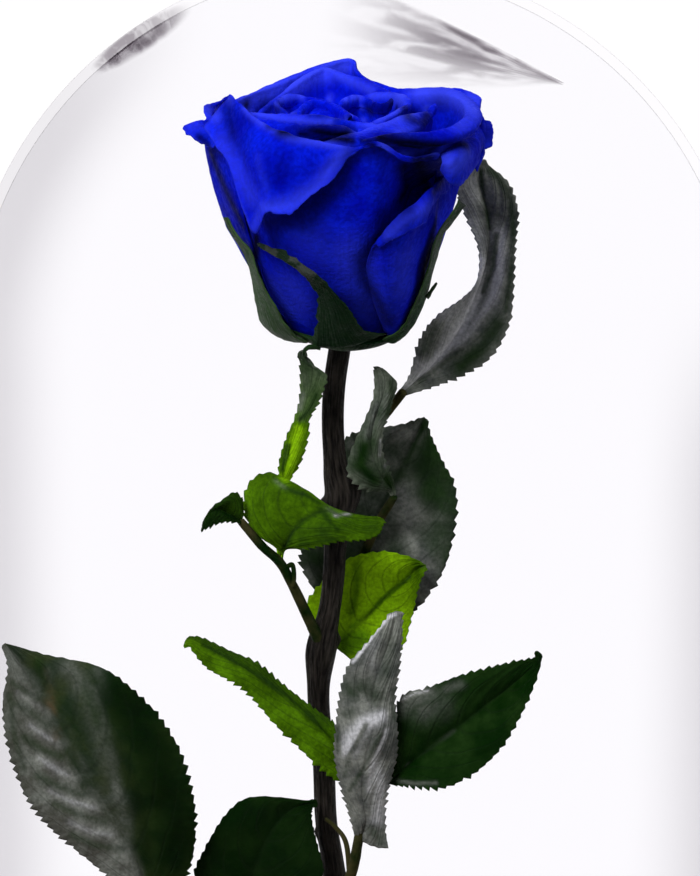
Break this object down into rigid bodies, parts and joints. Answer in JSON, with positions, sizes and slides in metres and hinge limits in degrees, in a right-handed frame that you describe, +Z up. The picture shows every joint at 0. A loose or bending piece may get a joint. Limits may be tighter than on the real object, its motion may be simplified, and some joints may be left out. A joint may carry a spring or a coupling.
{
  "type": "preserved rose in a glass dome",
  "caption": "Single preserved blue rose with its leafy stem, standing upright under a clear glass dome on a round turned wooden base.",
  "frame": {"origin": "centre of the base's underside", "axes": "+Z up along the dome's axis, -Y towards the viewer of the picture, +X to the viewer's right"},
  "size_m": [0.18, 0.18, 0.27],
  "materials": {
    "base_wood": "satin lacquered wood",
    "dome_glass": "clear blown glass",
    "dark_stem": "matte dark stem with fine lengthwise grooves",
    "blue_petal": "dyed preserved petal, velvety",
    "sepal": "preserved sepal, matte",
    "leaf": "preserved leaf, soft sheen"
  },
  "bodies": {
    "root": {"wooden_base": "base_wood", "glass_dome": "dome_glass", "stem": "dark_stem", "bloom": "blue_petal", "calyx": "sepal", "leaf_left": "leaf", "leaf_right": "leaf", "leaf_back": "leaf", "leaf_front": "leaf", "leaf_low": "leaf"}
  },
  "joints": []
}
